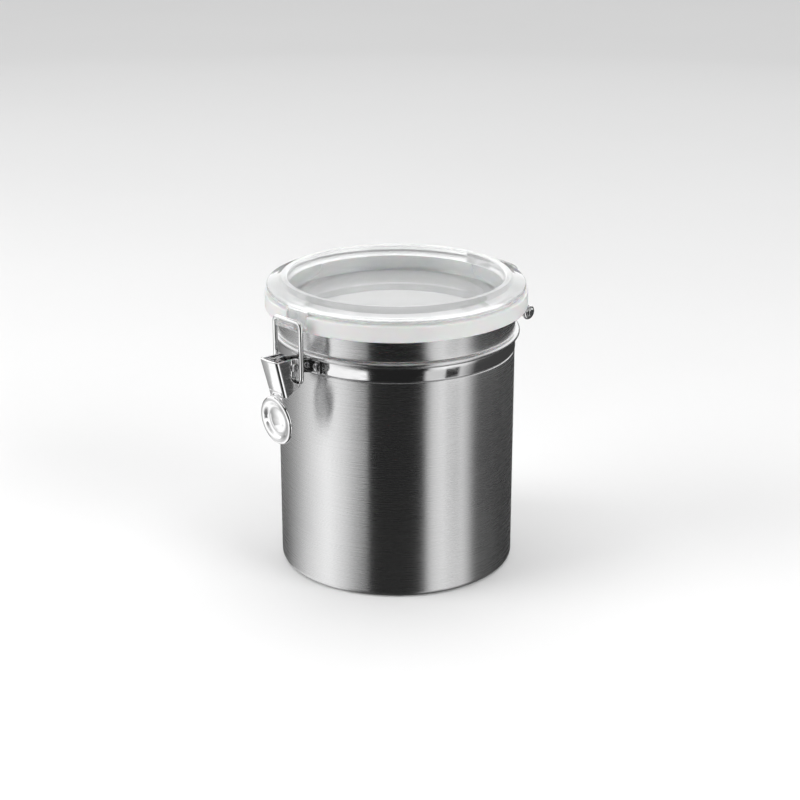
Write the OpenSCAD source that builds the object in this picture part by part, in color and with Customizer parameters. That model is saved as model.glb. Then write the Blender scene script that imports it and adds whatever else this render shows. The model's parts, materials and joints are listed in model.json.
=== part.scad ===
// Food canister with a clear clamp-down lid.
// Origin: centre of the flat base. +Z up, latch towards -Y, hinge towards +Y.

/* [Canister] */
// Outside diameter of the straight wall
body_d = 120; // [110:1:130]
// Height of the straight wall, up to the strap
shoulder_h = 112.7; // [80:0.1:160]
// Thickness of the steel wall
wall = 0.8; // [0.6:0.1:1]
// Outside radius where the wall meets the base
base_fillet = 3; // [2:0.5:5]

/* [Neck] */
// Width of the polished strap below the bead
strap_w = 6.6; // [6.4:0.1:6.8]
// How far the bead stands out of the wall
bead_out = 2.4; // [2.2:0.1:2.6]

/* [Lid] */
// How far the lid's lip stands out of the wall
lip_out = 5.1; // [5:0.1:5.4]
// How far the gasket's white band stands out of the wall
band_out = 6.1; // [6:0.1:6.2]
// Thickness of the floor of the lid's recess
lid_floor = 2.5; // [2:0.1:3]
// Rise of the lid above its underside
lid_rise = 6.2; // [6:0.1:7]

/* [Latch and hinge] */
// Diameter of the bail and link wire
wire_d = 2.4; // [2.2:0.1:2.5]
// Thickness of the pressed steel of the latch and brackets
sheet = 1; // [0.8:0.1:1]
// Width of the thumb tab
tab_w = 22.4; // [20:0.2:26]
// Height of the thumb tab
tab_h = 24.8; // [22:0.2:25]

/* [Hidden] */
$fn = 96;

// Canister profile
body_r = body_d / 2;
inner_r = body_r - wall;
groove_r = body_r - wall;
groove_z = [shoulder_h + 0.7, shoulder_h + 7.7];
bead_z = shoulder_h + 9.3;
bead_half = 1.4;
curl_r = 1.2;
curl_z = shoulder_h + 27.7;
curl_mid_r = body_r + 0.6;

// Strap, brackets and rivets
strap_r = groove_r + sheet;
strap_z0 = groove_z[0] + 0.2;
plate_r = strap_r + sheet;
latch_plate_half_w = 10.4;
hinge_plate_half_w = 14.6;
rivet_r = 1.2;
latch_spread = 7.3;
hinge_spread = 10.8;
rivet_z = strap_z0 + strap_w / 2;
rivet_head_h = 0.9;

// Latch, seen from the side as [y, z]
pivot = [-body_r - 12.6, shoulder_h + 6.3];
bail_pivot = pivot + [1.4, -7.5];
bail_bar_z = shoulder_h + 28.6;
bail_half_w = 9.5;
ear_x = 5.1 - sheet;
flange_x = 5.4;
pin_r = 1.5;
hole_gap = 0.08;
wire_r = wire_d / 2;
wire_bend = 2.4;

// Hinge, seen from the side as [y, z]
hinge_axis = [body_r + 24.3, shoulder_h + 2.7];
lid_axis = [body_r + 15.5, shoulder_h + 25.7];
link_half_w = 12.6;
eyelet_r = 2.9;
knuckle_half_w = 9;
link_reach = norm(lid_axis - hinge_axis);
link_h = sqrt(link_reach * link_reach - eyelet_r * eyelet_r);
link_lean = atan2(hinge_axis[0] - lid_axis[0], lid_axis[1] - hinge_axis[1]) - atan2(eyelet_r, link_h);
knuckle_r = 3;

// Lid and gasket
lid_under = shoulder_h + 31.6;
lid_top = lid_under + lid_rise;
floor_z = shoulder_h + 25.8;
lip_r = body_r + lip_out;
plug_r = body_r - 3.5;
recess_r = body_r - 8.4;
ridge_r = body_r - 5.1;
band_r = body_r + band_out;
band_in_r = body_r + 2.6;
band_z0 = shoulder_h + 22.3;
web_z = shoulder_h + 29.3;
front_lug_half_w = 7;
rear_lug_half_w = 9.8;
lug_face_y = -body_r - 3.8;
ledge_y = bail_pivot[0] - 2;
ledge_top = bail_bar_z - wire_r - 0.45;

function arc(c, r, a0, a1, n) = [for (i = [0:n]) let (a = a0 + (a1 - a0) * i / n) c + r * [cos(a), sin(a)]];
function ellipse(w, h, n) = [for (i = [0:n - 1]) [w / 2 * cos(360 * i / n), h / 2 * sin(360 * i / n)]];

// A plate of constant thickness across X, drawn from its side view in [y, z]
module side_plate(x0, thick, pts) {
    translate([x0, 0, 0]) rotate([90, 0, 90]) linear_extrude(thick) polygon(pts);
}

// A round bar or bore along X, at p = [y, z]
module x_rod(p, r, half_len, fn = 48) {
    translate([-half_len, p[0], p[1]]) rotate([0, 90, 0]) cylinder(r = r, h = 2 * half_len, $fn = fn);
}

// A pair of plates, one on each side of X = 0
module both_sides() {
    for (s = [0, 1]) mirror([s, 0, 0]) children();
}

// A quarter bend of wire in the XZ plane about the origin, from +X round to +Z
module wire_elbow() {
    rotate([90, 0, 0]) rotate_extrude(angle = 90) translate([wire_bend, 0]) circle(r = wire_r, $fn = 32);
}

// Wire in the XZ plane: half of a crossbar, a bend and a leg down, at x = half_w
module wire_side(half_w, z_leg, z_bar) {
    translate([half_w, 0, z_leg]) cylinder(r = wire_r, h = z_bar - wire_bend - z_leg, $fn = 32);
    translate([half_w - wire_bend, 0, z_bar - wire_bend]) wire_elbow();
}

module wire_bar(half_w, z_bar) {
    translate([0, 0, z_bar]) x_rod([0, 0], wire_r, half_w - wire_bend, 32);
}

// Rivet holes or shanks, radial, beside the middle of a bracket that faces -Y
module rivet_pair(spread, r, from_r, to_r) {
    for (a = [-spread, spread])
        rotate([0, 0, a]) translate([0, -from_r, rivet_z]) rotate([90, 0, 0])
            cylinder(r = r, h = to_r - from_r, $fn = 32);
}

module rivets(spread) {
    rivet_pair(spread, rivet_r, groove_r + 0.05, plate_r + 0.1);
    for (a = [-spread, spread])
        rotate([0, 0, a]) translate([0, -plate_r, rivet_z]) rotate([90, 0, 0])
            cylinder(r1 = 2.2, r2 = 1.4, h = rivet_head_h, $fn = 32);
}

// Base plate of a bracket, curved to lie on the strap at -Y
module curved_plate(half_w, spread) {
    difference() {
        intersection() {
            translate([0, 0, strap_z0]) cylinder(r = plate_r, h = strap_w);
            translate([-half_w, -plate_r - 1, strap_z0]) cube([2 * half_w, 12, strap_w]);
        }
        translate([0, 0, strap_z0 - 1]) cylinder(r = strap_r, h = strap_w + 2);
        rivet_pair(spread, rivet_r + 0.02, groove_r - 1, plate_r + 1);
    }
}

module canister_body() {
    color("silver") rotate_extrude($fn = 128) polygon(concat(
        [[0, 0]],
        arc([body_r - base_fillet, base_fillet], base_fillet, -90, 0, 6),
        [[body_r, shoulder_h - 0.5], [body_r - 0.2, shoulder_h + 0.2], [groove_r, groove_z[0]],
         [groove_r, groove_z[1]]],
        arc([body_r + bead_out - bead_half, bead_z], bead_half, -80, 80, 8),
        [[body_r, bead_z + bead_half + 0.3]],
        arc([curl_mid_r, curl_z], curl_r, -60, 150, 10),
        [[inner_r, curl_z], [inner_r, bead_z + 2.1]],
        arc([body_r + bead_out - bead_half, bead_z], bead_half - wall, 60, -60, 4),
        [[inner_r - wall, groove_z[1] - 0.4], [inner_r - wall, groove_z[0] + 0.2],
         [inner_r, shoulder_h - 0.6]],
        arc([body_r - base_fillet, base_fillet], base_fillet - wall, 0, -90, 5),
        [[0, wall]]
    ));
}

module neck_strap() {
    color("gainsboro") difference() {
        translate([0, 0, strap_z0]) cylinder(r = strap_r, h = strap_w, $fn = 128);
        translate([0, 0, strap_z0 - 1]) cylinder(r = groove_r, h = strap_w + 2, $fn = 128);
        rivet_pair(latch_spread, rivet_r + 0.02, groove_r - 1, plate_r + 1);
        rotate([0, 0, 180]) rivet_pair(hinge_spread, rivet_r + 0.02, groove_r - 1, plate_r + 1);
    }
}

module latch_bracket() {
    color("silver") difference() {
        union() {
            curved_plate(latch_plate_half_w, latch_spread);
            both_sides() side_plate(ear_x, sheet, [
                [-strap_r - 0.1, strap_z0], pivot + [1, -2.8], pivot + [-1.5, -2.4],
                pivot + [-1.5, 2.4], pivot + [1, 2.8], [-strap_r - 0.1, strap_z0 + strap_w]]);
            both_sides() translate([ear_x, pivot[0], pivot[1]]) rotate([0, 90, 0])
                cylinder(r = 3.2, h = sheet, $fn = 48);
        }
        x_rod(pivot, pin_r + 0.02, 12);
    }
}

module latch_bracket_rivets() {
    color("dimgray") rivets(latch_spread);
}

module latch_pivot_pin() {
    color("gray") union() {
        x_rod(pivot, pin_r, flange_x + sheet + 0.2);
        both_sides() translate([flange_x + sheet + 0.1, pivot[0], pivot[1]]) rotate([0, 90, 0])
            cylinder(r1 = 2.3, r2 = 2, h = 0.5, $fn = 48);
    }
}

module latch_lever() {
    web_top = pivot + [-12, 4.5];
    web_end = pivot + [-6.8, -14.5];
    tab_mid = pivot + [-6.7, -26.9];
    half_w = flange_x + sheet;
    rim = 3;
    color("whitesmoke") difference() {
        union() {
            // Outer web of the channel, leaning in towards the wall
            side_plate(-half_w, 2 * half_w,
                [web_top, web_end, web_end + [sheet, 0], web_top + [sheet, 0]]);
            // Side flanges, which carry the pivot pin and the ends of the bail
            both_sides() side_plate(flange_x, sheet, [
                web_top, web_end, web_end + [2.2, 0], bail_pivot + [0.8, -3], bail_pivot + [2.2, -2],
                bail_pivot + [2.7, 0], pivot + [3.6, 0], pivot + [2.6, 2.4], pivot + [-1, 4.2],
                pivot + [-8, 5.2]]);
            // Neck between the channel and the tab
            side_plate(-5, 10, [
                web_end + [0.1, 1.5], web_end + [1, 1.5], web_end + [0.8, -1], tab_mid + [-0.2, 8.7],
                tab_mid + [-1.1, 9.9], web_end + [-0.9, -1.1], web_end + [-0.3, 0.4]]);
            // Round thumb tab with a raised rim
            translate([0, tab_mid[0], tab_mid[1]]) rotate([96, 0, 0])
                translate([0, 0, -1.1]) linear_extrude(2.2) polygon(ellipse(tab_w, tab_h, 48));
        }
        translate([0, tab_mid[0], tab_mid[1]]) rotate([96, 0, 0])
            translate([0, 0, 0.1]) linear_extrude(3) polygon(ellipse(tab_w - 2 * rim, tab_h - 2 * rim, 48));
        x_rod(pivot, pin_r + hole_gap, 14);
        x_rod(bail_pivot, wire_r + hole_gap, 14);
    }
}

module bail_wire() {
    end_in = 1.2;
    color("silver") translate([0, bail_pivot[0], 0]) {
        wire_bar(bail_half_w, bail_bar_z);
        both_sides() {
            wire_side(bail_half_w, bail_pivot[1] + wire_bend, bail_bar_z);
            translate([bail_half_w - wire_bend, 0, bail_pivot[1] + wire_bend])
                mirror([0, 0, 1]) wire_elbow();
            translate([flange_x - end_in, 0, bail_pivot[1]]) rotate([0, 90, 0])
                cylinder(r = wire_r, h = bail_half_w - wire_bend - flange_x + end_in, $fn = 32);
        }
    }
}

module hinge_bracket() {
    color("silver") difference() {
        union() {
            rotate([0, 0, 180]) curved_plate(hinge_plate_half_w, hinge_spread);
            // Arm from the plate out to the rolled knuckle
            side_plate(-knuckle_half_w, 2 * knuckle_half_w, [
                [strap_r + 0.3, strap_z0 + 2.5], hinge_axis + [-2, -2.6], hinge_axis + [0, -2.6],
                hinge_axis + [0, -1.5], hinge_axis + [-2, -1.5], [strap_r + 0.3, strap_z0 + 3.7]]);
            x_rod(hinge_axis, knuckle_r, knuckle_half_w);
        }
        x_rod(hinge_axis, pin_r + 0.02, 12);
    }
}

module hinge_bracket_rivets() {
    color("dimgray") rotate([0, 0, 180]) rivets(hinge_spread);
}

module hinge_pin() {
    head_x = link_half_w + wire_r + 0.3;
    color("gray") union() {
        x_rod(hinge_axis, pin_r, head_x + 0.2);
        both_sides() translate([head_x, hinge_axis[0], hinge_axis[1]]) rotate([0, 90, 0])
            cylinder(r1 = 2.5, r2 = 1.9, h = 1, $fn = 48);
    }
}

// Wire loop: its crossbar turns in the lid's lug, its eyelets turn on the hinge pin
module hinge_link() {
    color("silver") translate([0, hinge_axis[0], hinge_axis[1]]) rotate([link_lean, 0, 0]) {
        translate([0, -eyelet_r, 0]) wire_bar(link_half_w, link_h);
        both_sides() {
            translate([0, -eyelet_r, 0]) wire_side(link_half_w, 0, link_h);
            translate([link_half_w, 0, 0]) rotate([90, 0, 90]) rotate([0, 0, 180])
                rotate_extrude(angle = 270) translate([eyelet_r, 0]) circle(r = wire_r, $fn = 32);
        }
    }
}

module lid_cover() {
    color("white", 0.5) difference() {
        union() {
            rotate_extrude($fn = 128) polygon([
                [0, floor_z - lid_floor], [plug_r - 0.5, floor_z - lid_floor],
                [plug_r, floor_z - lid_floor + 0.5], [plug_r, lid_under],
                [lip_r - 1.5, lid_under], [lip_r, lid_under + 0.7],
                [lip_r, lid_under + 2.1], [lip_r - 0.5, lid_under + 2.9], [body_r, lid_top - 1.3],
                [body_r - 2.5, lid_top - 0.1], [ridge_r + 0.7, lid_top], [ridge_r - 0.3, lid_top - 0.5],
                [recess_r + 0.3, floor_z + 0.5], [recess_r - 0.3, floor_z], [0, floor_z]]);
            // Front lug: a ledge that the bail pulls down on
            side_plate(-front_lug_half_w, 2 * front_lug_half_w, [
                [-body_r, lid_under + 0.1], [-body_r, lid_under + 4], [-lip_r + 0.3, lid_under + 2.6],
                [lug_face_y - 1.6, lid_under - 0.3], [lug_face_y - 1.6, ledge_top],
                [ledge_y + 0.4, ledge_top], [ledge_y, ledge_top - 0.4],
                [ledge_y, ledge_top - 1.8], [ledge_y + 1.4, ledge_top - 2.6],
                [lug_face_y - 1.6, band_z0 + 0.6], [lug_face_y - 0.8, band_z0 - 0.2],
                [lug_face_y, band_z0 - 0.2], [lug_face_y, lid_under + 0.1]]);
            // Rear lug: carries the link's crossbar
            side_plate(-rear_lug_half_w, 2 * rear_lug_half_w, [
                [body_r, lid_under + 0.1], [body_r + 6, lid_under + 0.1], [body_r + 6.8, lid_under - 1],
                lid_axis + [-2.6, -1.8], lid_axis + [1.5, -1.2], lid_axis + [1.5, 2.8],
                lid_axis + [-1.5, 5.2], [lip_r + 1.6, lid_under + 2.4], [body_r, lid_under + 4]]);
            x_rod(lid_axis, 3.2, rear_lug_half_w);
        }
        x_rod(lid_axis, wire_r + hole_gap, 12);
    }
}

module lid_gasket() {
    color("white") difference() {
        rotate_extrude($fn = 128) polygon([
            [plug_r, web_z - 4], [plug_r + 0.6, web_z - 4], [plug_r + 1, web_z - 3.4], [plug_r + 1, web_z],
            [band_in_r, web_z], [band_in_r, band_z0 + 0.4], [band_in_r + 0.4, band_z0],
            [band_r - 0.6, band_z0], [band_r, band_z0 + 0.6], [band_r, lid_under - 1.7],
            [band_r - 0.5, lid_under - 1.2], [band_r - 2.6, lid_under - 1.2], [band_r - 2.6, lid_under],
            [plug_r, lid_under]]);
        // Flat at the front, behind the lid's lug
        translate([-front_lug_half_w - 0.4, -band_r - 1, band_z0 - 1])
            cube([2 * front_lug_half_w + 0.8, band_r + 1 + lug_face_y + 0.2, lid_under - band_z0 + 2]);
    }
}

canister_body();
neck_strap();
latch_bracket();
latch_bracket_rivets();
latch_pivot_pin();
latch_lever();
bail_wire();
hinge_bracket();
hinge_bracket_rivets();
hinge_pin();
hinge_link();
lid_cover();
lid_gasket();
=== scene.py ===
import json
import math

import bmesh
import bpy
from mathutils import Matrix, Vector


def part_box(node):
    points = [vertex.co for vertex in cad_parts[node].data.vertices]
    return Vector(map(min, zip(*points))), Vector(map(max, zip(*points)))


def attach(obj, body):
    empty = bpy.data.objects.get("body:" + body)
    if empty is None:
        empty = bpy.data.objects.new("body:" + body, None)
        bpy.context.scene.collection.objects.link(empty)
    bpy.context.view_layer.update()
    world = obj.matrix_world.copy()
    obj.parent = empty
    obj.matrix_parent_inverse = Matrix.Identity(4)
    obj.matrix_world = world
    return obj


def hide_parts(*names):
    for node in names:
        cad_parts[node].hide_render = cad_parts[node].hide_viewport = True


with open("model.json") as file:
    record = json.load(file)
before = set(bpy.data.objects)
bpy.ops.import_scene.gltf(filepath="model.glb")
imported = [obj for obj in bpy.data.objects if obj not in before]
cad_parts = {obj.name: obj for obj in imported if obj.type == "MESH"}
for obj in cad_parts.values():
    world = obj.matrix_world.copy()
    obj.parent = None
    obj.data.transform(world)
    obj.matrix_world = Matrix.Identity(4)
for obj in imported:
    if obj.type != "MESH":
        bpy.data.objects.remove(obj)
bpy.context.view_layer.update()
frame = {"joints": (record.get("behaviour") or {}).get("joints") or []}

# ---------------------------------------------------------------------------
# Sizes. Shapes are drawn in millimetres and scaled by MM when a mesh is made.
# The main radii, heights and joint axes are read from the frame. Details hang on them.
# ---------------------------------------------------------------------------
MM = 0.001
AROUND = 288                    # segments round a turned piece

BEAD_OUT = 2.4
BODY_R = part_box("canister_body")[1].x / MM - BEAD_OUT
RIM_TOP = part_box("canister_body")[1].z / MM
STRAP_Z = [corner.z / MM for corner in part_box("neck_strap")]
STRAP_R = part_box("neck_strap")[1].x / MM
SHOULDER = STRAP_Z[0] - 0.9
GROOVE_R = STRAP_R - 1
WALL = 0.8
SHEET = 1.0                     # pressed steel of the latch and brackets
WIRE_R = 1.2
PIN_R = 1.5

LID_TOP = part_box("lid_cover")[1].z / MM
LID_UNDER = LID_TOP - 6.2
LIP_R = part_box("lid_cover")[1].x / MM
FLOOR_Z = SHOULDER + 25.8       # floor of the lid's recess
PLUG_R = BODY_R - 3.5
BAND_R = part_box("lid_gasket")[1].x / MM
BAND_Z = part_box("lid_gasket")[0].z / MM
FRONT_LUG_HALF = 7.0
REAR_LUG_HALF = 9.8
LID_GAP = 0.05                  # keeps the clear lid's faces off the gasket's

# Axes seen from the side, as (y, z)
JOINT = {j["name"]: (j["pos_m"][1] / MM, j["pos_m"][2] / MM) for j in frame["joints"]}
PIVOT, BAIL_PIVOT = JOINT["lever_swing"], JOINT["bail_swing"]
HINGE, LID_AXIS = JOINT["link_tilt"], JOINT["lid_swing"]
BAIL_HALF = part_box("bail_wire")[1].x / MM - WIRE_R
BAIL_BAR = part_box("bail_wire")[1].z / MM - WIRE_R
LINK_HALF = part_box("hinge_link")[1].x / MM - WIRE_R
CHANNEL_HALF = 6.4
WIRE_BEND = 2.4
EYELET_R = 2.9
LATCH_PLATE_HALF = 10.4
EAR_X = 4.6                     # middle of each ear's sheet
HINGE_PLATE_HALF = 14.6
ARM_HALF = 9.0
ARM_SHEET = 1.1
LATCH_RIVET_TURN = 7.3          # degrees round from the bracket's middle
HINGE_RIVET_TURN = 10.8

CAMERA_AZIMUTH = math.radians(46.8)


# ---------------------------------------------------------------------------
# Outlines
# ---------------------------------------------------------------------------
def arc(centre, r, start, end, steps):
    """Points on an arc, angles in degrees."""
    angles = [math.radians(start + (end - start) * i / steps) for i in range(steps + 1)]
    return [(centre[0] + r * math.cos(a), centre[1] + r * math.sin(a)) for a in angles]


def rounded(corners, steps=5, closed=True):
    """An outline from (x, y, radius) corners; a corner of radius 0 stays sharp."""
    points = []
    count = len(corners)
    for i, (x, y, radius) in enumerate(corners):
        if radius == 0 or (not closed and i in (0, count - 1)):
            points.append((x, y))
            continue
        here = Vector((x, y))
        to_before = (Vector(corners[i - 1][:2]) - here)
        to_after = (Vector(corners[(i + 1) % count][:2]) - here)
        reach = min(to_before.length, to_after.length) * 0.49
        half = to_before.angle(to_after) / 2
        back_off = min(radius / math.tan(half), reach)
        start = here + to_before.normalized() * back_off
        end = here + to_after.normalized() * back_off
        for k in range(steps + 1):
            t = k / steps
            points.append(tuple(start.lerp(here, t).lerp(here.lerp(end, t), t)))
    return points


# ---------------------------------------------------------------------------
# Meshes
# ---------------------------------------------------------------------------
def finish_mesh(name, verts, faces, sharp=35):
    """A mesh object in metres, smooth but for edges over sharp degrees."""
    mesh = bpy.data.meshes.new(name)
    mesh.from_pydata([Vector(v) * MM for v in verts], [], faces)
    obj = bpy.data.objects.new(name, mesh)
    bpy.context.scene.collection.objects.link(obj)
    tidy_mesh(obj, sharp)
    return obj


def tidy_mesh(obj, sharp=35):
    """Merges doubles, turns faces outwards and sets the shading."""
    bm = bmesh.new()
    bm.from_mesh(obj.data)
    bmesh.ops.remove_doubles(bm, verts=bm.verts, dist=2e-6)
    bmesh.ops.recalc_face_normals(bm, faces=bm.faces)
    bm.to_mesh(obj.data)
    bm.free()
    obj.data.polygons.foreach_set("use_smooth", [True] * len(obj.data.polygons))
    obj.data.set_sharp_from_angle(angle=math.radians(sharp))


def turned(name, profile, axis="Z", segments=AROUND, sharp=35):
    """A closed profile of (radius, height) turned round Z, or round X."""
    verts, faces = [], []
    rows = len(profile)
    for s in range(segments):
        a = 2 * math.pi * s / segments
        for r, h in profile:
            p = (r * math.cos(a), r * math.sin(a), h)
            verts.append(p if axis == "Z" else (p[2], p[0], p[1]))
    for s in range(segments):
        n = (s + 1) % segments
        for i in range(rows):
            j = (i + 1) % rows
            if profile[i][0] == 0 and profile[j][0] == 0:
                continue
            faces.append((s * rows + i, n * rows + i, n * rows + j, s * rows + j))
    return finish_mesh(name, verts, faces, sharp)


def extruded(name, outline, half_width, x_mid=0.0, edge=0.25, sharp=35):
    """An outline of (y, z) given thickness along X, its edges rounded."""
    count = len(outline)
    verts = [(x_mid + side * half_width, y, z) for side in (-1, 1) for y, z in outline]
    faces = [tuple(range(count)), tuple(range(2 * count - 1, count - 1, -1))]
    faces += [(i, (i + 1) % count, count + (i + 1) % count, count + i) for i in range(count)]
    obj = finish_mesh(name, verts, faces, sharp)
    if edge:
        round_edges(obj, edge)
    return obj


def round_edges(obj, width, segments=3, angle=40):
    modifier = obj.modifiers.new("round", "BEVEL")
    modifier.width = width * MM
    modifier.segments = segments
    modifier.limit_method = "ANGLE"
    modifier.angle_limit = math.radians(angle)
    apply_modifiers(obj)
    obj.data.polygons.foreach_set("use_smooth", [True] * len(obj.data.polygons))
    obj.data.set_sharp_from_angle(angle=math.radians(50))


def apply_modifiers(obj):
    graph = bpy.context.evaluated_depsgraph_get()
    mesh = bpy.data.meshes.new_from_object(obj.evaluated_get(graph))
    obj.modifiers.clear()
    old, obj.data = obj.data, mesh
    bpy.data.meshes.remove(old)
    mesh.name = obj.name


def combine(obj, tool, operation, sharp=35):
    """Joins tool to obj, or cuts it out, as true solids."""
    modifier = obj.modifiers.new("solid", "BOOLEAN")
    modifier.operation = operation
    modifier.solver = "EXACT"
    modifier.object = tool
    apply_modifiers(obj)
    bpy.data.objects.remove(tool)
    tidy_mesh(obj, sharp)


def join(name, parts):
    """Several closed solids as one object."""
    bm = bmesh.new()
    for part in parts:
        part.data.transform(part.matrix_world)
        bm.from_mesh(part.data)
    mesh = bpy.data.meshes.new(name)
    bm.to_mesh(mesh)
    bm.free()
    for part in parts:
        bpy.data.objects.remove(part)
    obj = bpy.data.objects.new(name, mesh)
    bpy.context.scene.collection.objects.link(obj)
    obj.data.set_sharp_from_angle(angle=math.radians(50))
    return obj


def bent_path(corners, bend, steps=10):
    """A line through 3-D corners, with a true arc of radius bend at each."""
    points = [Vector(corners[0])]
    for before, here, after in zip(corners, corners[1:], corners[2:]):
        here = Vector(here)
        u = (Vector(before) - here).normalized()
        v = (Vector(after) - here).normalized()
        half = u.angle(v) / 2
        middle = here + (u + v).normalized() * (bend / math.sin(half))
        first = here + u * (bend / math.tan(half))
        last = here + v * (bend / math.tan(half))
        a, b = first - middle, last - middle
        turn = a.angle(b)
        for k in range(steps + 1):
            t = k / steps
            p = a * math.sin((1 - t) * turn) + b * math.sin(t * turn)
            points.append(middle + p / math.sin(turn))
    points.append(Vector(corners[-1]))
    return points


def wire(name, path, r=WIRE_R, sides=28):
    """A round wire along path, with domed ends."""
    path = [Vector(p) for p in path]
    tangents = []
    for i in range(len(path)):
        tangents.append((path[min(i + 1, len(path) - 1)] - path[max(i - 1, 0)]).normalized())
    normal = tangents[0].orthogonal().normalized()
    rings = []

    def ring(centre, radius, tangent, across):
        side = tangent.cross(across)
        angles = [2 * math.pi * k / sides for k in range(sides)]
        return [centre + (across * math.cos(a) + side * math.sin(a)) * radius for a in angles]

    dome = [(math.cos(math.radians(d)), math.sin(math.radians(d))) for d in (88, 65, 40, 20)]
    for c, s in dome:
        rings.append(ring(path[0] - tangents[0] * r * 0.5 * s, r * c, tangents[0], normal))
    for p, t in zip(path, tangents):
        normal = (normal - t * normal.dot(t)).normalized()
        rings.append(ring(p, r, t, normal))
    for c, s in reversed(dome):
        rings.append(ring(path[-1] + tangents[-1] * r * 0.5 * s, r * c, tangents[-1], normal))
    verts = [v for one in rings for v in one]
    faces = []
    for i in range(len(rings) - 1):
        for k in range(sides):
            n = (k + 1) % sides
            faces.append((i * sides + k, i * sides + n, (i + 1) * sides + n, (i + 1) * sides + k))
    faces += [tuple(range(sides)), tuple(range(len(verts) - sides, len(verts)))]
    return finish_mesh(name, verts, faces, 60)


def strip(name, path, thickness, half_width, edge=0.2):
    """A flat strip of sheet along a (y, z) path."""
    outer, inner = [], []
    for i, p in enumerate(path):
        before, after = Vector(path[max(i - 1, 0)]), Vector(path[min(i + 1, len(path) - 1)])
        along = (after - before).normalized()
        side = Vector((-along.y, along.x)) * thickness / 2
        outer.append(tuple(Vector(p) + side))
        inner.append(tuple(Vector(p) - side))
    return extruded(name, outer + inner[::-1], half_width, 0, edge)


# ---------------------------------------------------------------------------
# Materials
# ---------------------------------------------------------------------------
class Nodes:
    """Builds a node tree a line at a time."""

    def __init__(self, name):
        self.material = bpy.data.materials.new(name)
        self.material.use_nodes = True
        self.tree = self.material.node_tree
        self.shader = self.tree.nodes["Principled BSDF"]
        self.place = self.tree.nodes.new("ShaderNodeTexCoord").outputs["Object"]

    def link(self, out, node, socket):
        self.tree.links.new(out, node.inputs[socket])

    def noise(self, scale, detail=3.0, roughness=0.55):
        """Noise in object space; scale is per metre, along X, Y and Z."""
        mapping = self.tree.nodes.new("ShaderNodeMapping")
        mapping.inputs["Scale"].default_value = scale
        self.link(self.place, mapping, "Vector")
        noise = self.tree.nodes.new("ShaderNodeTexNoise")
        noise.inputs["Scale"].default_value = 1.0
        noise.inputs["Detail"].default_value = detail
        noise.inputs["Roughness"].default_value = roughness
        self.link(mapping.outputs["Vector"], noise, "Vector")
        return noise.outputs["Fac"]

    def ramp(self, value, low, high, out_low, out_high):
        node = self.tree.nodes.new("ShaderNodeMapRange")
        limits = {"From Min": low, "From Max": high, "To Min": out_low, "To Max": out_high}
        for socket, number in limits.items():
            node.inputs[socket].default_value = number
        self.link(value, node, "Value")
        return node.outputs["Result"]

    def mix(self, factor, first, second):
        node = self.tree.nodes.new("ShaderNodeMix")
        node.data_type = "RGBA"
        node.inputs["A"].default_value = (*first, 1)
        node.inputs["B"].default_value = (*second, 1)
        self.link(factor, node, "Factor")
        return node.outputs["Result"]

    def math(self, kind, a, b):
        node = self.tree.nodes.new("ShaderNodeMath")
        node.operation = kind
        for i, value in enumerate((a, b)):
            if isinstance(value, (int, float)):
                node.inputs[i].default_value = value
            else:
                self.tree.links.new(value, node.inputs[i])
        return node.outputs["Value"]

    def bump(self, height, distance, strength=1.0, before=None):
        node = self.tree.nodes.new("ShaderNodeBump")
        node.inputs["Distance"].default_value = distance
        node.inputs["Strength"].default_value = strength
        self.link(height, node, "Height")
        if before is not None:
            self.link(before, node, "Normal")
        return node.outputs["Normal"]

    def set(self, **values):
        for socket, value in values.items():
            self.shader.inputs[socket.replace("_", " ")].default_value = value


def brushed_steel():
    """Stainless sheet brushed round the canister's axis."""
    n = Nodes("brushed_steel")
    scratches = n.noise((45, 45, 5200), 4, 0.6)
    drags = n.noise((1500, 1500, 9), 3, 0.5)
    smudges = n.noise((28, 28, 22), 3, 0.5)
    n.link(n.mix(smudges, (0.60, 0.60, 0.605), (0.70, 0.70, 0.70)), n.shader, "Base Color")
    grain = n.math("ADD", n.math("MULTIPLY", scratches, 0.7), n.math("MULTIPLY", smudges, 0.3))
    n.link(n.ramp(grain, 0.3, 0.7, 0.23, 0.31), n.shader, "Roughness")
    normal = n.bump(scratches, 0.0000013)
    n.link(n.bump(drags, 0.0000024, before=normal), n.shader, "Normal")
    tangent = n.tree.nodes.new("ShaderNodeTangent")
    tangent.direction_type = "RADIAL"
    tangent.axis = "Z"
    n.link(tangent.outputs["Tangent"], n.shader, "Tangent")
    n.set(Metallic=1.0, Anisotropic=0.85, Anisotropic_Rotation=0.25)
    return n.material


def bright_steel(name, dark, light, rough, ripple):
    """Polished or plated steel, with faint ripples, wipe marks and dulled patches."""
    n = Nodes(name)
    wipes = n.noise((220, 220, 900), 4, 0.6)
    ripples = n.noise((130, 130, 130), 2, 0.4)
    patches = n.noise((60, 75, 60), 3, 0.6)
    n.link(n.mix(patches, dark, light), n.shader, "Base Color")
    n.link(n.ramp(wipes, 0.35, 0.7, rough[0], rough[1]), n.shader, "Roughness")
    n.link(n.bump(ripples, ripple), n.shader, "Normal")
    n.set(Metallic=1.0)
    return n.material


def clear_acrylic():
    n = Nodes("clear_acrylic")
    wear = n.noise((90, 90, 90), 4, 0.6)
    flow = n.noise((22, 22, 40), 2, 0.4)
    n.link(n.mix(wear, (0.96, 0.97, 0.97), (0.99, 0.995, 0.995)), n.shader, "Base Color")
    n.link(n.ramp(wear, 0.3, 0.75, 0.02, 0.09), n.shader, "Roughness")
    n.link(n.bump(flow, 0.00006), n.shader, "Normal")
    n.set(Transmission_Weight=0.74, IOR=1.49)
    return n.material


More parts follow.
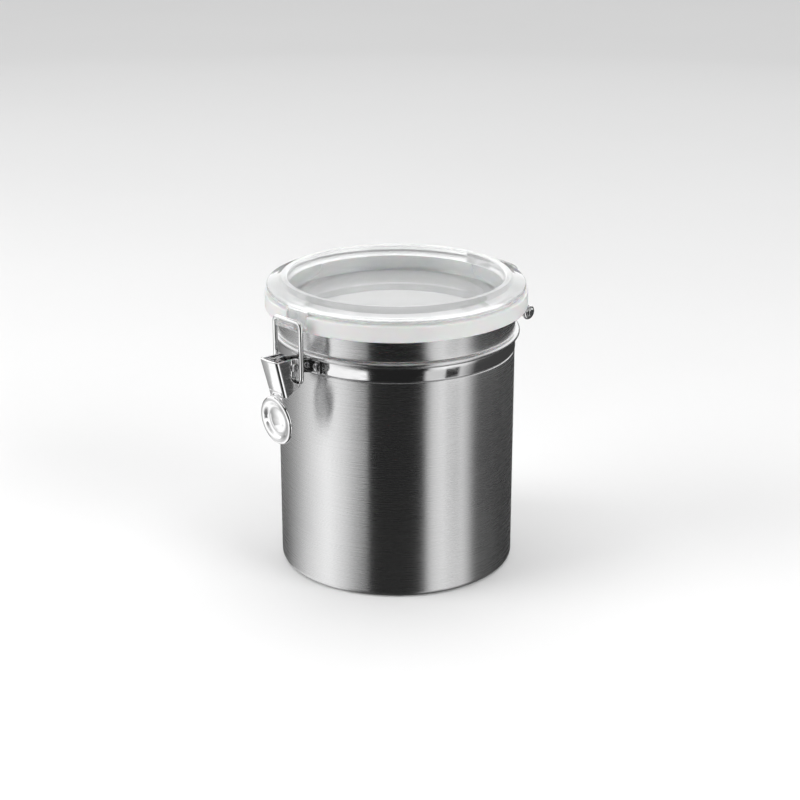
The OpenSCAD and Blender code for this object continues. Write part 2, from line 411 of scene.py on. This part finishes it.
def white_silicone():
    n = Nodes("white_silicone")
    cloud = n.noise((40, 40, 40), 3, 0.5)
    grain = n.noise((1400, 1400, 1400), 3, 0.6)
    n.link(n.mix(cloud, (0.90, 0.90, 0.89), (0.96, 0.96, 0.955)), n.shader, "Base Color")
    n.link(n.ramp(grain, 0.3, 0.7, 0.30, 0.42), n.shader, "Roughness")
    n.link(n.bump(grain, 0.000012), n.shader, "Normal")
    n.set(Transmission_Weight=0.35, IOR=1.41, Subsurface_Weight=0.3, Subsurface_Scale=0.004)
    return n.material


def pale_floor():
    n = Nodes("pale_floor")
    cloud = n.noise((3, 3, 3), 3, 0.5)
    n.link(n.mix(cloud, (0.80, 0.80, 0.80), (0.83, 0.83, 0.83)), n.shader, "Base Color")
    n.set(Roughness=0.9)
    return n.material


STEEL = brushed_steel()
POLISHED = bright_steel("polished_steel", (0.66, 0.66, 0.665), (0.76, 0.76, 0.76), (0.07, 0.15), 0.00002)
PLATED = bright_steel("plated_steel", (0.80, 0.80, 0.805), (0.88, 0.88, 0.88), (0.05, 0.13), 0.00003)
WIRE_STEEL = bright_steel("plated_wire", (0.76, 0.76, 0.765), (0.86, 0.86, 0.86), (0.06, 0.16), 0.00002)
RIVET_STEEL = bright_steel("rivet_steel", (0.55, 0.55, 0.56), (0.66, 0.66, 0.66), (0.16, 0.30), 0.00002)
ACRYLIC = clear_acrylic()
SILICONE = white_silicone()


def place(obj, body, slot, material, *nodes):
    """Gives a finished piece its material and its body, and hides the CAD nodes it stands for."""
    obj.data.materials.clear()
    obj.data.materials.append(material)
    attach(obj, body)
    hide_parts(*nodes)


# ---------------------------------------------------------------------------
# Canister
# ---------------------------------------------------------------------------
def make_body():
    bead_z = SHOULDER + 9.3
    bead_half = 1.4
    bead_mid = (BODY_R + BEAD_OUT - bead_half, bead_z)
    curl_mid = (BODY_R + 0.6, RIM_TOP - WIRE_R)
    fillet = 3.0
    inner = BODY_R - WALL
    outside = (
        [(0, 0.4), (BODY_R - 13, 0.4), (BODY_R - 12, 0)]
        + arc((BODY_R - fillet, fillet), fillet, -90, 0, 14)
        + rounded([(BODY_R, SHOULDER - 6, 0), (BODY_R, SHOULDER + 0.1, 0.7),
                   (GROOVE_R, SHOULDER + 0.75, 0.3), (GROOVE_R, SHOULDER + 4, 0)], 6, False)
        + rounded([(GROOVE_R, SHOULDER + 5, 0), (GROOVE_R, SHOULDER + 7.8, 0.4),
                   (BODY_R + 0.9, SHOULDER + 7.85, 0.3)], 5, False)
        + arc(bead_mid, bead_half, -75, 75, 14)
        + rounded([(BODY_R + 1, bead_z + 1.45, 0), (BODY_R, bead_z + 1.6, 0.6),
                   (BODY_R, bead_z + 6, 0)], 5, False)
        + arc(curl_mid, WIRE_R, -60, 180, 18)
    )
    inside = (
        [(inner, RIM_TOP - 2), (inner, bead_z + 2.2)]
        + arc(bead_mid, bead_half - WALL, 60, -60, 6)
        + [(inner - WALL, SHOULDER + 7.3), (inner - WALL, SHOULDER + 0.9), (inner, SHOULDER - 0.6)]
        + arc((BODY_R - fillet, fillet), fillet - WALL, 0, -90, 8)
        + [(BODY_R - 11, WALL), (BODY_R - 12.5, WALL + 0.4), (0, WALL + 0.4)]
    )
    body = turned("canister_shell", outside + inside, sharp=32)
    place(body, "canister", "brushed_steel", STEEL, "canister_body")


def make_strap():
    low, high = STRAP_Z
    ring = rounded([(GROOVE_R, low, 0.1), (STRAP_R, low, 0.35),
                    (STRAP_R, high, 0.35), (GROOVE_R, high, 0.1)])
    strap = turned("neck_strap_band", ring)
    place(strap, "canister", "polished_steel", POLISHED, "neck_strap")


def curved_plate(facing, half):
    """A bracket's base plate, lying on the strap. facing is -1 for the latch, 1 for the hinge."""
    inner, outer = STRAP_R, STRAP_R + SHEET
    low, high = STRAP_Z
    steps = 24
    span = math.asin(half / outer)
    section = rounded([(inner, low, 0.1), (outer, low, 0.35),
                       (outer, high, 0.35), (inner, high, 0.1)], 4)
    verts, faces = [], []
    for s in range(steps + 1):
        a = facing * math.pi / 2 - span + 2 * span * s / steps
        verts += [(r * math.cos(a), r * math.sin(a), z) for r, z in section]
    count = len(section)
    for s in range(steps):
        for i in range(count):
            j = (i + 1) % count
            faces.append((s * count + i, (s + 1) * count + i, (s + 1) * count + j, s * count + j))
    faces += [tuple(range(count)), tuple(range(len(verts) - count, len(verts)))]
    return finish_mesh("plate", verts, faces)


def make_latch_bracket():
    low, high = STRAP_Z
    y, z = PIVOT
    ear = rounded([(-STRAP_R - 0.1, low, 0), (y + 1.5, z - 3.2, 2.5), (y - 3.1, z - 2.4, 2.4),
                   (y - 3.1, z + 2.4, 2.4), (y + 1.5, z + 3.2, 2.5), (-STRAP_R - 0.1, high, 0)], 8)
    parts = [curved_plate(-1, LATCH_PLATE_HALF)]
    parts += [extruded("ear", ear, SHEET / 2, side * EAR_X, 0.2) for side in (-1, 1)]
    place(join("latch_bracket_plate", parts), "canister", "polished_steel", POLISHED, "latch_bracket")


def make_rivets(name, facing, spread, node):
    """Two domed rivets, each spread degrees round from the middle of the bracket."""
    seat, rise = STRAP_R + SHEET, 0.9
    profile = [(0, seat - 2)] + [(1.2, seat - 2), (1.2, seat - 0.05), (2.2, seat - 0.05)]
    profile += arc((0, seat - 1.6), 2.5, 38, 90, 10)
    profile[-1] = (0, seat + rise)      # exactly on the axis, so the dome closes
    turn = Matrix.Rotation(-facing * math.pi / 2, 4, "X")
    lift = Matrix.Translation((0, 0, (STRAP_Z[0] + STRAP_Z[1]) / 2 * MM))
    parts = []
    for side in (-1, 1):
        rivet = turned("rivet", profile, segments=48)
        rivet.matrix_world = lift @ Matrix.Rotation(side * math.radians(spread), 4, "Z") @ turn
        bpy.context.view_layer.update()
        parts.append(rivet)
    place(join(name, parts), "canister", "rivet_steel", RIVET_STEEL, node)


def make_pin(name, at, half_length, head_r, head_h, node):
    """A pin along X with a domed head at each end. half_length runs to the heads."""
    side = rounded([(0, half_length + head_h, 0), (head_r * 0.7, half_length + head_h, 0.5),
                    (head_r, half_length + head_h * 0.4, 0.3), (head_r, half_length, 0.1),
                    (PIN_R, half_length, 0)], 5, False)
    profile = side + [(r, -x) for r, x in reversed(side)]
    pin = turned(name, profile, "X", 64)
    pin.data.transform(Matrix.Translation((0, at[0] * MM, at[1] * MM)))
    place(pin, "canister", "rivet_steel", RIVET_STEEL, node)


def make_hinge_bracket():
    y, z = HINGE
    path = [(STRAP_R + 0.4, z + 1.3), (y - 9, z - 1.04)] + arc(HINGE, 2.4, -98.7, 190, 28)
    parts = [curved_plate(1, HINGE_PLATE_HALF), strip("arm", path, ARM_SHEET, ARM_HALF)]
    place(join("hinge_bracket_plate", parts), "canister", "polished_steel", POLISHED, "hinge_bracket")


# ---------------------------------------------------------------------------
# Latch
# ---------------------------------------------------------------------------
def channel_mesh():
    """The lever's channel as a bent sheet: a bowed web with a tapered flange on each side."""
    bend, bow, rows, across = 1.8, 0.3, 36, 14
    y, z = PIVOT
    web_top, web_end = Vector((y - 11.6, z + 4.5)), Vector((y - 6.4, z - 14.5))
    rear = rounded([(y - 1.2, z + 4.2, 0), (y + 3.4, z + 4.0, 4.5), (y + 4.1, z - 7.5, 2),
                    (y + 3.5, z - 10.4, 2.5), (y - 4.6, z - 14.5, 0)], 8, False)
    lengths = [0.0]
    for p, q in zip(rear, rear[1:]):
        lengths.append(lengths[-1] + math.dist(p, q))

    def rear_at(t):
        target = t * lengths[-1]
        k = max(i for i, length in enumerate(lengths[:-1]) if length <= target)
        part = (target - lengths[k]) / (lengths[k + 1] - lengths[k])
        return Vector(rear[k]).lerp(Vector(rear[k + 1]), part)

    verts, faces = [], []
    for i in range(rows + 1):
        t = i / rows
        half = CHANNEL_HALF - 0.6 * t
        front = web_top.lerp(web_end, t)
        corner = front + Vector((bend, 0))
        right = []
        for k in range(across):
            p = rear_at(t).lerp(corner, k / across)
            right.append((half, p.x, p.y))
        for a in range(0, 91, 10):
            turn = math.radians(a)
            right.append((half - bend + bend * math.cos(turn), corner.x - bend * math.sin(turn), front.y))
        flat = half - bend
        web = [(flat * (1 - k / 6), front.x - bow * (1 - (1 - k / 6) ** 2), front.y) for k in range(1, 12)]
        verts += right + web + [(-x, py, pz) for x, py, pz in reversed(right)]
    count = len(verts) // (rows + 1)
    for i in range(rows):
        for k in range(count - 1):
            a = i * count + k
            faces.append((a, a + count, a + count + 1, a + 1))
    obj = finish_mesh("channel", verts, faces)
    thicken = obj.modifiers.new("sheet", "SOLIDIFY")
    thicken.thickness = SHEET * MM
    thicken.offset = -1
    thicken.use_even_offset = True
    apply_modifiers(obj)
    round_edges(obj, 0.22, 3, 50)
    return obj


def tab_mesh():
    """Round thumb tab: a raised rim round a pressed groove, with a low dome in the middle."""
    half_w, half_h, lean = 11.2, 12.4, math.radians(6)
    y_mid, z_mid = PIVOT[0] - 6.7, PIVOT[1] - 26.9
    front = [(0.0, 0.6), (0.14, 0.56), (0.27, 0.38), (0.38, 0.02), (0.47, -0.36), (0.54, -0.5),
             (0.61, -0.36), (0.68, 0.1), (0.74, 0.6), (0.80, 0.92), (0.86, 1.05), (0.92, 1.0),
             (0.96, 0.8), (0.99, 0.4), (1.0, 0.0)]
    back = [(0.99, -0.5), (0.96, -0.85), (0.91, -1.0), (0.84, -0.6), (0.76, -0.35), (0.68, -0.8),
            (0.6, -1.05), (0.5, -1.05), (0.4, -0.7), (0.28, -0.45), (0.14, -0.4), (0.0, -0.4)]
    around = 120
    verts, faces = [], []
    rings = front + back
    for u, lift in rings:
        for k in range(around):
            a = 2 * math.pi * k / around
            up = half_h * u * math.sin(a)
            out = lift * math.cos(lean) + up * math.sin(lean)
            rise = up * math.cos(lean) - lift * math.sin(lean)
            verts.append((half_w * u * math.cos(a), y_mid - out, z_mid + rise))
    for i in range(len(rings) - 1):
        for k in range(around):
            n = (k + 1) % around
            faces.append((i * around + k, i * around + n, (i + 1) * around + n, (i + 1) * around + k))
    return finish_mesh("tab", verts, faces)


def make_lever():
    y, z = PIVOT
    neck_path = rounded([(y - 7.0, z - 11.5, 0), (y - 6.0, z - 14.4, 1), (y - 6.5, z - 16.2, 1),
                         (y - 7.4, z - 18.2, 0)], 5, False)
    lever = channel_mesh()
    combine(lever, strip("neck", neck_path, 1.1, 4.6, 0.3), "UNION", 50)
    combine(lever, tab_mesh(), "UNION", 50)
    lever.name = "latch_lever_pressing"
    place(lever, "lever", "plated_steel", PLATED, "latch_lever")


def make_bail():
    y, low = BAIL_PIVOT
    in_x = CHANNEL_HALF - SHEET - 0.7
    corners = [(-in_x, y, low), (-BAIL_HALF, y, low), (-BAIL_HALF, y, BAIL_BAR),
               (BAIL_HALF, y, BAIL_BAR), (BAIL_HALF, y, low), (in_x, y, low)]
    bail = wire("bail_loop", bent_path(corners, WIRE_BEND))
    place(bail, "bail", "plated_wire", WIRE_STEEL, "bail_wire")


def make_link():
    """Wire link: an eyelet round the hinge pin at each foot, and a crossbar through the lid's lug."""
    reach = math.dist(HINGE, LID_AXIS)
    height = math.sqrt(reach ** 2 - EYELET_R ** 2)
    lean = math.atan2(HINGE[0] - LID_AXIS[0], LID_AXIS[1] - HINGE[1]) - math.atan2(EYELET_R, height)
    loop = arc((0, 0), EYELET_R, 450, 190, 26)
    foot = [(LINK_HALF, y, z) for y, z in loop]
    legs = bent_path([(LINK_HALF, -EYELET_R, 0), (LINK_HALF, -EYELET_R, height),
                      (-LINK_HALF, -EYELET_R, height), (-LINK_HALF, -EYELET_R, 0)], WIRE_BEND)
    path = foot + [tuple(p) for p in legs] + [(-x, y, z) for x, y, z in reversed(foot)]
    link = wire("hinge_link_loop", path)
    to_hinge = Matrix.Translation((0, HINGE[0] * MM, HINGE[1] * MM))
    link.data.transform(to_hinge @ Matrix.Rotation(lean, 4, "X"))
    place(link, "link", "plated_wire", WIRE_STEEL, "hinge_link")


# ---------------------------------------------------------------------------
# Lid
# ---------------------------------------------------------------------------
def make_lid():
    floor_low = FLOOR_Z - 2.5
    profile = [(0, floor_low)] + rounded([
        (PLUG_R, floor_low, 0.9), (PLUG_R, LID_UNDER, 0), (LIP_R - 0.9, LID_UNDER, 0.5),
        (LIP_R, LID_UNDER + 1.3, 0.8), (LIP_R - 0.2, LID_UNDER + 2.8, 0.8),
        (BODY_R, LID_TOP - 1.4, 1.6),
        (BODY_R - 2.4, LID_TOP, 1.2), (BODY_R - 5.2, LID_TOP, 1.0),
        (BODY_R - 8.1, FLOOR_Z, 4.0)], 8)
    profile.append((0, FLOOR_Z))
    lid = turned("lid_cover_clear", profile, sharp=30)

    low = BAND_Z - 0.2
    ledge = BAIL_BAR - WIRE_R - 0.45
    face, end = -BODY_R - 3.8, BAIL_PIVOT[0] - 2
    front = rounded([
        (-BODY_R + 2, LID_UNDER + 0.2, 0), (-BODY_R + 2, LID_UNDER + 3, 0),
        (-LIP_R + 0.6, LID_UNDER + 2.4, 0.6), (face - 1.6, LID_UNDER - 0.3, 0.8),
        (face - 1.6, ledge, 0.5), (end, ledge, 0.5), (end, ledge - 1.8, 0.8),
        (end + 1.4, ledge - 2.6, 0.8), (face - 1.6, low + 0.8, 0.8), (face - 0.8, low, 0.3),
        (face, low, 0.3), (face, LID_UNDER + 0.2, 0)], 5)
    combine(lid, extruded("front_lug", front, FRONT_LUG_HALF, 0, 0.35), "UNION", 30)

    y, z = LID_AXIS
    rear = rounded([
        (BODY_R - 1, LID_UNDER + 0.2, 0), (BODY_R + 6, LID_UNDER + 0.2, 0.3),
        (BODY_R + 6.8, LID_UNDER - 1, 0.8),
        (y - 2.6, z - 1.8, 1.2), (y - 1.6, z - 3.1, 1.6), (y + 1.6, z - 3.1, 1.8), (y + 3.1, z - 1.6, 1.8),
        (y + 3.1, z + 1.6, 1.8), (y + 1.6, z + 3.1, 1.8), (y - 1.5, z + 5, 2.5),
        (LIP_R + 1.6, LID_UNDER + 2.4, 1.2), (LIP_R - 0.5, LID_UNDER + 2.6, 0.5),
        (BODY_R - 1, LID_UNDER + 3, 0)], 5)
    combine(lid, extruded("rear_lug", rear, REAR_LUG_HALF, 0, 0.35), "UNION", 30)

    bore_r, bore_half = WIRE_R + 0.08, 12
    bore = turned("bore", [(0, -bore_half), (bore_r, -bore_half), (bore_r, bore_half), (0, bore_half)],
                  "X", 48)
    bore.data.transform(Matrix.Translation((0, y * MM, z * MM)))
    combine(lid, bore, "DIFFERENCE", 30)
    place(lid, "lid", "clear_acrylic", ACRYLIC, "lid_cover")


def make_gasket():
    inner, web = BODY_R + 2.6, SHOULDER + 29.3
    profile = rounded([
        (PLUG_R + LID_GAP, web - 4, 0.3), (PLUG_R + 1, web - 4, 0.4),
        (PLUG_R + 1, web, 0.5), (inner, web, 0.5),
        (inner, BAND_Z, 0.4), (BAND_R, BAND_Z, 0.9), (BAND_R, LID_UNDER - 1.2, 0.8),
        (BAND_R - 2.6, LID_UNDER - 1.2, 0.2), (BAND_R - 2.6, LID_UNDER - LID_GAP, 0.2),
        (PLUG_R + LID_GAP, LID_UNDER - LID_GAP, 0.2)], 6)
    gasket = turned("lid_gasket_ring", profile, sharp=30)
    y_cut, x_cut = -BODY_R - 3.6, FRONT_LUG_HALF + 0.4
    box = [(-BAND_R - 2, BAND_Z - 1), (y_cut, BAND_Z - 1),
           (y_cut, LID_UNDER + 1), (-BAND_R - 2, LID_UNDER + 1)]
    combine(gasket, extruded("notch", box, x_cut, 0, 0), "DIFFERENCE", 30)
    place(gasket, "lid", "white_silicone", SILICONE, "lid_gasket")


make_body()
make_strap()
make_latch_bracket()
make_rivets("latch_rivets", -1, LATCH_RIVET_TURN, "latch_bracket_rivets")
make_pin("latch_pivot_rod", PIVOT, CHANNEL_HALF + 0.05, 2.3, 0.55, "latch_pivot_pin")
make_lever()
make_bail()
make_hinge_bracket()
make_rivets("hinge_rivets", 1, HINGE_RIVET_TURN, "hinge_bracket_rivets")
make_pin("hinge_rod", HINGE, LINK_HALF + WIRE_R + 0.3, 2.5, 1.0, "hinge_pin")
make_link()
make_lid()
make_gasket()


# ---------------------------------------------------------------------------
# Studio: floor, backdrop, soft panels and camera
# ---------------------------------------------------------------------------
def direction(azimuth):
    """A level direction; azimuth in degrees, 0 towards the camera, positive to its right."""
    a = CAMERA_AZIMUTH + math.radians(azimuth)
    return Vector((math.sin(a), -math.cos(a), 0))


def glow(name, colour, strength):
    material = bpy.data.materials.new(name)
    material.use_nodes = True
    tree = material.node_tree
    tree.nodes.remove(tree.nodes["Principled BSDF"])
    emission = tree.nodes.new("ShaderNodeEmission")
    emission.inputs["Color"].default_value = (*colour, 1)
    emission.inputs["Strength"].default_value = strength
    tree.links.new(emission.outputs["Emission"], tree.nodes["Material Output"].inputs["Surface"])
    return material


def tent(name, low, high, levels):
    """A curved reflector round the object, seen in its reflections and through its clear lid.

    low and high are its edges in metres. levels are (azimuth, brightness) stops, from behind
    the object round by the left.
    """
    distance, steps = 1.6, 240
    verts, shades = [], []
    for i in range(steps + 1):
        azimuth = -180 + 360 * i / steps
        level = direction(azimuth) * distance / MM
        verts += [(level.x, level.y, low / MM), (level.x, level.y, high / MM)]
        before = max(k for k in range(len(levels) - 1) if levels[k][0] <= azimuth)
        (a0, b0), (a1, b1) = levels[before], levels[before + 1]
        shades += [b0 + (b1 - b0) * (azimuth - a0) / (a1 - a0)] * 2
    faces = [(2 * i, 2 * i + 1, 2 * i + 3, 2 * i + 2) for i in range(steps)]
    mesh = bpy.data.meshes.new(name)
    mesh.from_pydata([Vector(v) * MM for v in verts], [], faces)
    shade = mesh.attributes.new("shade", "FLOAT", "POINT")
    shade.data.foreach_set("value", shades)
    obj = bpy.data.objects.new(name, mesh)
    bpy.context.scene.collection.objects.link(obj)
    material = glow(name, (1, 1, 1), 1)
    tree = material.node_tree
    reader = tree.nodes.new("ShaderNodeAttribute")
    reader.attribute_name = "shade"
    tree.links.new(reader.outputs["Fac"], tree.nodes["Emission"].inputs["Strength"])
    obj.data.materials.append(material)
    obj.visible_camera = False
    obj.visible_diffuse = False
    obj.visible_shadow = False


def soft_lamp(name, kind, azimuth, elevation, distance, size, energy):
    """A large soft lamp aimed at the canister, not seen in reflections."""
    light = bpy.data.lights.new(name, kind)
    if kind == "SUN":
        light.angle = math.radians(size)
    else:
        light.shape = "DISK"
        light.size = size
    light.energy = energy
    lamp = bpy.data.objects.new(name, light)
    rise = math.radians(elevation)
    towards = direction(azimuth) * math.cos(rise) + Vector((0, 0, math.sin(rise)))
    lamp.location = towards * distance + Vector((0, 0, 0.08))
    lamp.rotation_mode = "QUATERNION"
    lamp.rotation_quaternion = towards.to_track_quat("Z", "Y")
    lamp.visible_camera = False
    lamp.visible_glossy = False
    bpy.context.scene.collection.objects.link(lamp)


def make_floor():
    size = 9.0 / MM
    floor = finish_mesh("floor", [(-size, -size, 0), (size, -size, 0), (size, size, 0), (-size, size, 0)],
                        [(0, 1, 2, 3)])
    floor.data.materials.append(pale_floor())
    floor.visible_glossy = False


def make_backdrop():
    ring = [(8.0, -0.1), (8.0, 5.0), (0, 7.0), (0, 7.1), (8.1, 5.1), (8.1, -0.1)]
    backdrop = turned("backdrop", [(r / MM, h / MM) for r, h in ring], segments=64)
    backdrop.data.materials.append(glow("backdrop", (1, 1, 1), 0.62))
    backdrop.visible_glossy = False
    backdrop.visible_diffuse = False
    backdrop.visible_shadow = False


def make_ceiling():
    """A broad soft panel overhead, seen in the lid and down inside it."""
    ceiling = turned("ceiling", [(0, 1600), (1100, 1600), (1100, 1610), (0, 1610)], segments=64)
    ceiling.data.materials.append(glow("ceiling", (1, 1, 1), 0.9))
    ceiling.visible_camera = False
    ceiling.visible_diffuse = False
    ceiling.visible_shadow = False


def make_camera():
    """Looks from 47 degrees round from the latch and 20 degrees above level."""
    elevation = math.radians(19.87)
    distance, lens, aim_z, aim_right = 0.9449, 82.79, 0.0830, 0.00184
    level = direction(0)
    right = Vector((math.cos(CAMERA_AZIMUTH), math.sin(CAMERA_AZIMUTH), 0))
    back = level * math.cos(elevation) + Vector((0, 0, math.sin(elevation)))
    data = bpy.data.cameras.new("camera")
    data.lens = lens
    data.sensor_width = 36
    data.clip_start, data.clip_end = 0.01, 60
    camera = bpy.data.objects.new("camera", data)
    camera.location = right * aim_right + Vector((0, 0, aim_z)) + back * distance
    camera.rotation_mode = "QUATERNION"
    camera.rotation_quaternion = (-back).to_track_quat("-Z", "Y")
    bpy.context.scene.collection.objects.link(camera)
    bpy.context.scene.camera = camera


def make_world():
    world = bpy.data.worlds.new("studio")
    world.use_nodes = True
    world.node_tree.nodes["Background"].inputs["Color"].default_value = (1, 1, 1, 1)
    world.node_tree.nodes["Background"].inputs["Strength"].default_value = 0.06
    bpy.context.scene.world = world
    bpy.context.scene.view_settings.view_transform = "Standard"


make_floor()
make_backdrop()
make_ceiling()
# A wide panel to the left and a narrower one to the right, dark straight ahead, dim behind.
WALL_LEVELS = [
    (-180, 0.05), (-140, 0.1), (-110, 0.6), (-70, 1.35), (-50, 0.9), (-32, 0.02), (28, 0.02), (34, 1.0),
    (50, 1.5), (70, 1.0), (83, 0.12), (120, 0.03), (180, 0.05)]
# The same panels with hard edges, and a dark card in the middle of the right one.
STRAP_LEVELS = [
    (-180, 0.05), (-110, 0.5), (-70, 1.3), (-28, 1.3), (-26, 0.02), (26, 0.02), (28, 0.8), (47, 0.8),
    (48, 0.03), (61, 0.03), (62, 0.8), (80, 0.07), (180, 0.05)]
LEVER_LEVELS = [(-180, 0.2), (-110, 1.2), (-75, 1.2), (-50, 0.3), (-25, 0.03), (25, 0.03), (35, 0.8),
                (75, 0.7), (90, 0.1), (180, 0.1)]
HIGH_LEVELS = [(-180, 1.5), (-120, 1.4), (-70, 1.2), (-32, 0.04), (28, 0.04), (34, 0.9), (50, 1.2),
               (75, 0.8), (130, 1.4), (180, 1.5)]
tent("tent_foot", -3.2, -1.0, LEVER_LEVELS)
tent("tent_low", -1.0, -0.62, WALL_LEVELS)
tent("tent_strap", -0.62, -0.30, STRAP_LEVELS)
tent("tent_middle", -0.30, 0.2, WALL_LEVELS)
tent("tent_high", 0.2, 1.6, HIGH_LEVELS)
soft_lamp("sky", "SUN", 180, 80, 3, 70, 2.2)
soft_lamp("left", "AREA", -75, 25, 1.5, 1.2, 16)
soft_lamp("right", "AREA", 55, 25, 1.5, 1.0, 12)
make_camera()
make_world()
